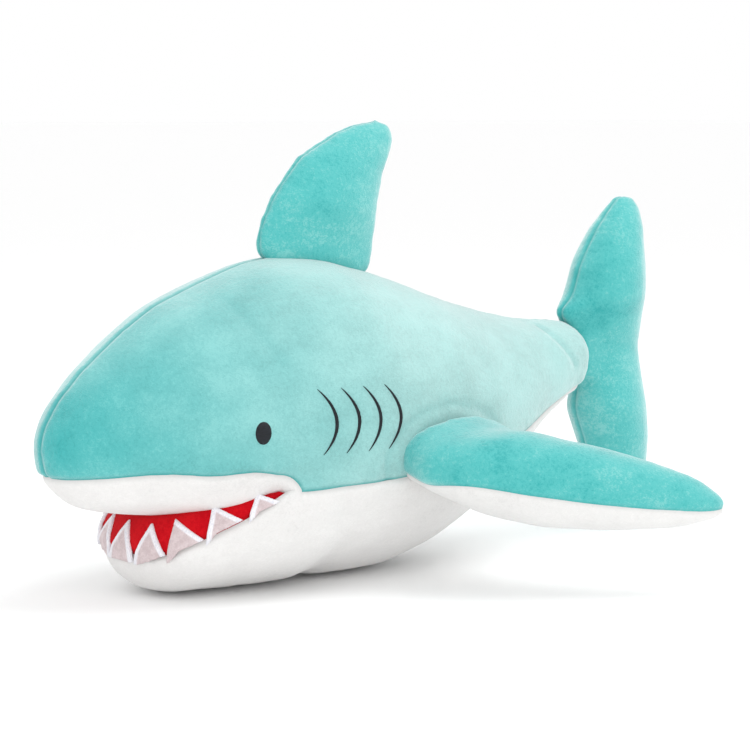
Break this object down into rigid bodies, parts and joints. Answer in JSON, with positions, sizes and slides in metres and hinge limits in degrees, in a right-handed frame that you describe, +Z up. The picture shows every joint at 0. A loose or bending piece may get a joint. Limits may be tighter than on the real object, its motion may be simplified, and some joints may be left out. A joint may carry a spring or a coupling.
{
  "type": "plush shark",
  "caption": "Stuffed toy shark with an aqua back, white belly, open red mouth with felt teeth, and soft fins sewn on by flexible seams.",
  "frame": {"origin": "on the ground under the middle of the outline", "axes": "+Z up, nose towards -Y, tail towards +Y, the left side is +X"},
  "size_m": [0.434, 0.496, 0.2894],
  "materials": {
    "aqua_plush": "short-pile plush, aqua, matt with a soft sheen",
    "white_plush": "short-pile plush, white, matt with a soft sheen",
    "red_lining": "smooth short-nap fabric, red",
    "tooth_felt": "felt with a satin-stitched white edge",
    "black_thread": "black embroidery thread, satin stitch",
    "filling": "loose white polyester fibre"
  },
  "bodies": {
    "torso": {"torso_stuffing": "filling", "back_panel_left": "aqua_plush", "back_panel_right": "aqua_plush", "snout_underside_panel": "white_plush", "belly_panel": "white_plush", "mouth_roof_lining": "red_lining", "left_eye": "black_thread", "right_eye": "black_thread", "left_gill_1": "black_thread", "left_gill_2": "black_thread", "left_gill_3": "black_thread", "left_gill_4": "black_thread", "right_gill_1": "black_thread", "right_gill_2": "black_thread", "right_gill_3": "black_thread", "right_gill_4": "black_thread"},
    "jaw": {"jaw_stuffing": "filling", "jaw_cover": "white_plush", "mouth_floor_lining": "red_lining", "tooth_centre": "tooth_felt", "tooth_left_1": "tooth_felt", "tooth_left_2": "tooth_felt", "tooth_left_3": "tooth_felt", "tooth_left_4": "tooth_felt", "tooth_right_1": "tooth_felt", "tooth_right_2": "tooth_felt", "tooth_right_3": "tooth_felt", "tooth_right_4": "tooth_felt"},
    "dorsal_fin": {"dorsal_stuffing": "filling", "dorsal_left_panel": "aqua_plush", "dorsal_right_panel": "aqua_plush"},
    "tail_fin": {"tail_stuffing": "filling", "tail_left_panel": "aqua_plush", "tail_right_panel": "aqua_plush"},
    "left_pectoral_fin": {"left_pectoral_stuffing": "filling", "left_pectoral_upper_panel": "aqua_plush", "left_pectoral_lower_panel": "white_plush"},
    "right_pectoral_fin": {"right_pectoral_stuffing": "filling", "right_pectoral_upper_panel": "aqua_plush", "right_pectoral_lower_panel": "white_plush"}
  },
  "joints": [
    {"name": "jaw_open", "type": "hinge", "parent": "torso", "child": "jaw", "pos_m": [0, -0.117, 0.06], "axis": [1, 0, 0], "range_deg": [0, 12], "stiffness_Nm_per_rad": 1},
    {"name": "dorsal_fin_sway", "type": "hinge", "parent": "torso", "child": "dorsal_fin", "pos_m": [0, -0.045, 0.212], "axis": [0, 0.9857, -0.1685], "range_deg": [-30, 30], "stiffness_Nm_per_rad": 0.5},
    {"name": "tail_fin_swing", "type": "hinge", "parent": "torso", "child": "tail_fin", "pos_m": [0, 0.196, 0.127], "axis": [0, 0, 1], "range_deg": [-30, 30], "stiffness_Nm_per_rad": 0.6},
    {"name": "left_pectoral_flap", "type": "hinge", "parent": "torso", "child": "left_pectoral_fin", "pos_m": [0.104, 0, 0.077], "axis": [-0.009, -0.9994, -0.0337], "range_deg": [-20, 35], "stiffness_Nm_per_rad": 0.6},
    {"name": "right_pectoral_flap", "type": "hinge", "parent": "torso", "child": "right_pectoral_fin", "pos_m": [-0.104, 0, 0.077], "axis": [-0.009, 0.9994, 0.0337], "range_deg": [-20, 35], "stiffness_Nm_per_rad": 0.6}
  ]
}
